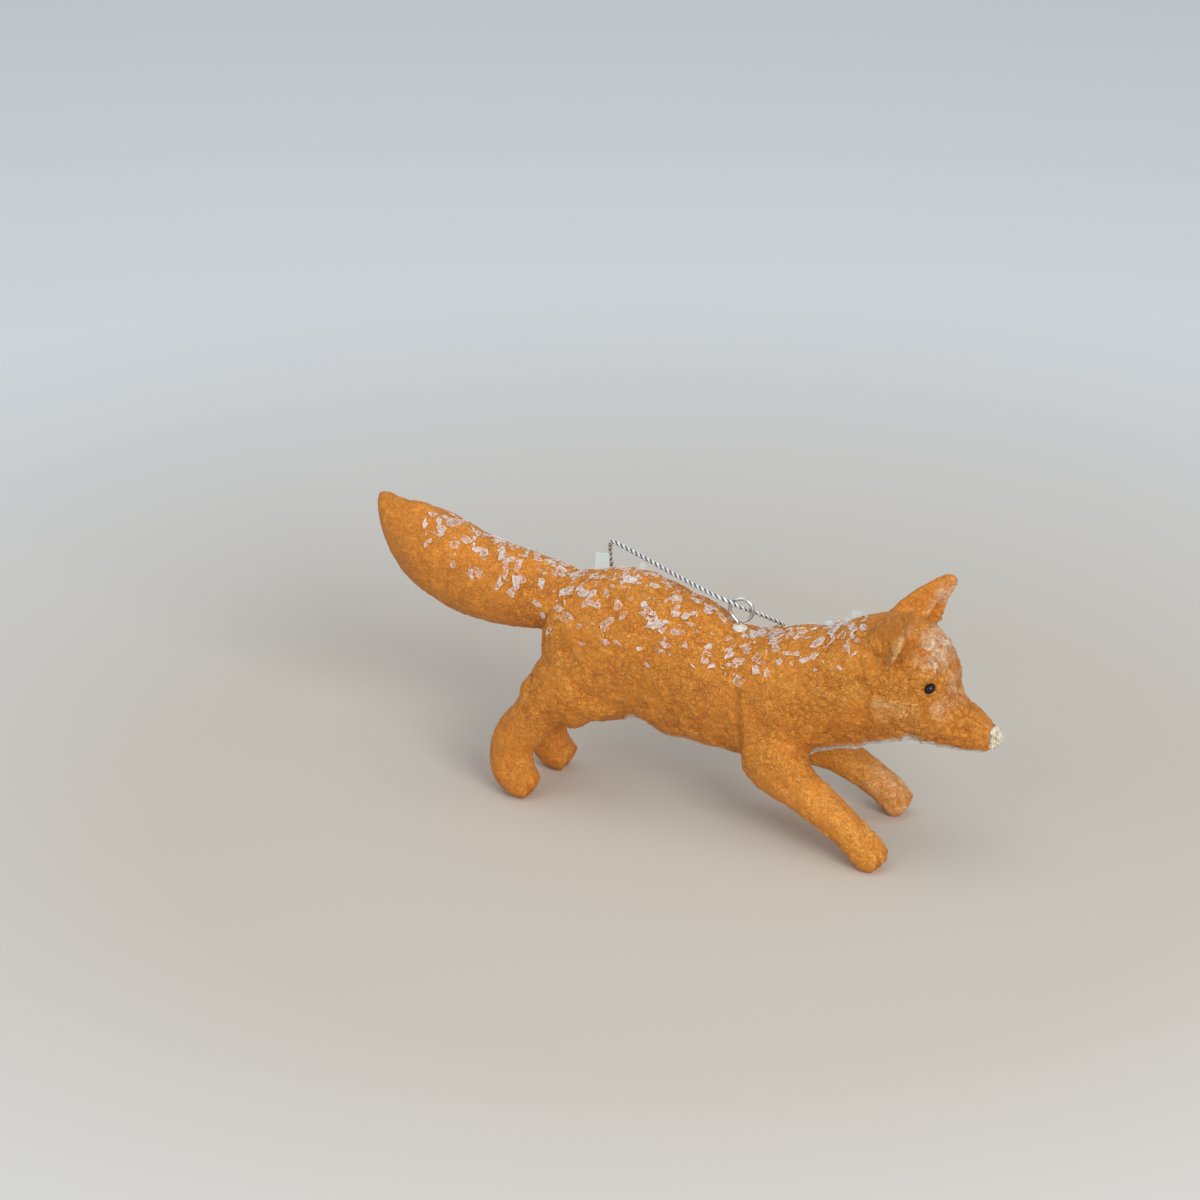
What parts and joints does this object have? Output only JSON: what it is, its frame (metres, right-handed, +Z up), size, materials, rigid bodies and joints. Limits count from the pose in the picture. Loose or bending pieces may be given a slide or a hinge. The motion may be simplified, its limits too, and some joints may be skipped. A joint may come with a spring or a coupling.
{
  "type": "hanging fox figurine",
  "caption": "Running fox figurine of painted paper pulp over a wire frame, with a wire eye on its back and a twisted hanging cord.",
  "frame": {"origin": "on the floor under the middle of the fox's bounding box, cord left out", "axes": "+X towards the nose along the body, +Y towards the fox's left side, +Z up"},
  "size_m": [0.1511, 0.0377, 0.0659],
  "materials": {
    "painted_paper": "painted paper pulp with torn and creased layers",
    "paper_core": "unpainted paper pulp",
    "armature_wire": "plain soft wire",
    "bright_wire": "bright nickel plated wire",
    "black_glass": "glossy black bead",
    "cream_pulp": "crumbly cream paste",
    "glue": "clear to whitish glue",
    "silver_cord": "two-ply metallic thread",
    "mica": "thin translucent flakes"
  },
  "bodies": {
    "fox": {"ear_left": "painted_paper", "ear_right": "painted_paper", "eye_left": "black_glass", "eye_pin": "bright_wire", "eye_right": "black_glass", "front_leg_left": "painted_paper", "front_leg_right": "painted_paper", "front_leg_wire": "armature_wire", "glue_bead": "glue", "head_core": "paper_core", "head_skin": "painted_paper", "hind_leg_left": "painted_paper", "hind_leg_right": "painted_paper", "hind_leg_wire": "armature_wire", "mica_back_1": "mica", "mica_back_10": "mica", "mica_back_11": "mica", "mica_back_12": "mica", "mica_back_2": "mica", "mica_back_3": "mica", "mica_back_4": "mica", "mica_back_5": "mica", "mica_back_6": "mica", "mica_back_7": "mica", "mica_back_8": "mica", "mica_back_9": "mica", "mica_neck_1": "mica", "mica_neck_2": "mica", "mica_neck_3": "mica", "mica_neck_4": "mica", "mica_neck_5": "mica", "mica_neck_6": "mica", "mica_tail_1": "mica", "mica_tail_2": "mica", "mica_tail_3": "mica", "mica_tail_4": "mica", "mica_tail_5": "mica", "mica_tail_6": "mica", "mica_tail_7": "mica", "mica_tail_8": "mica", "nose_tip": "cream_pulp", "spine_wire": "armature_wire", "tail_core": "paper_core", "tail_skin": "painted_paper", "torso_core": "paper_core", "torso_skin": "painted_paper"},
    "hanging_loop": {"cord_rear_run": "silver_cord", "cord_front_run": "silver_cord", "cord_knot": "silver_cord"}
  },
  "joints": [
    {"name": "loop_swing", "type": "hinge", "parent": "fox", "child": "hanging_loop", "pos_m": [0.0134, 0, 0.0512], "axis": [0.5459, 0.7033, -0.4555], "range_deg": [0, 140]}
  ]
}
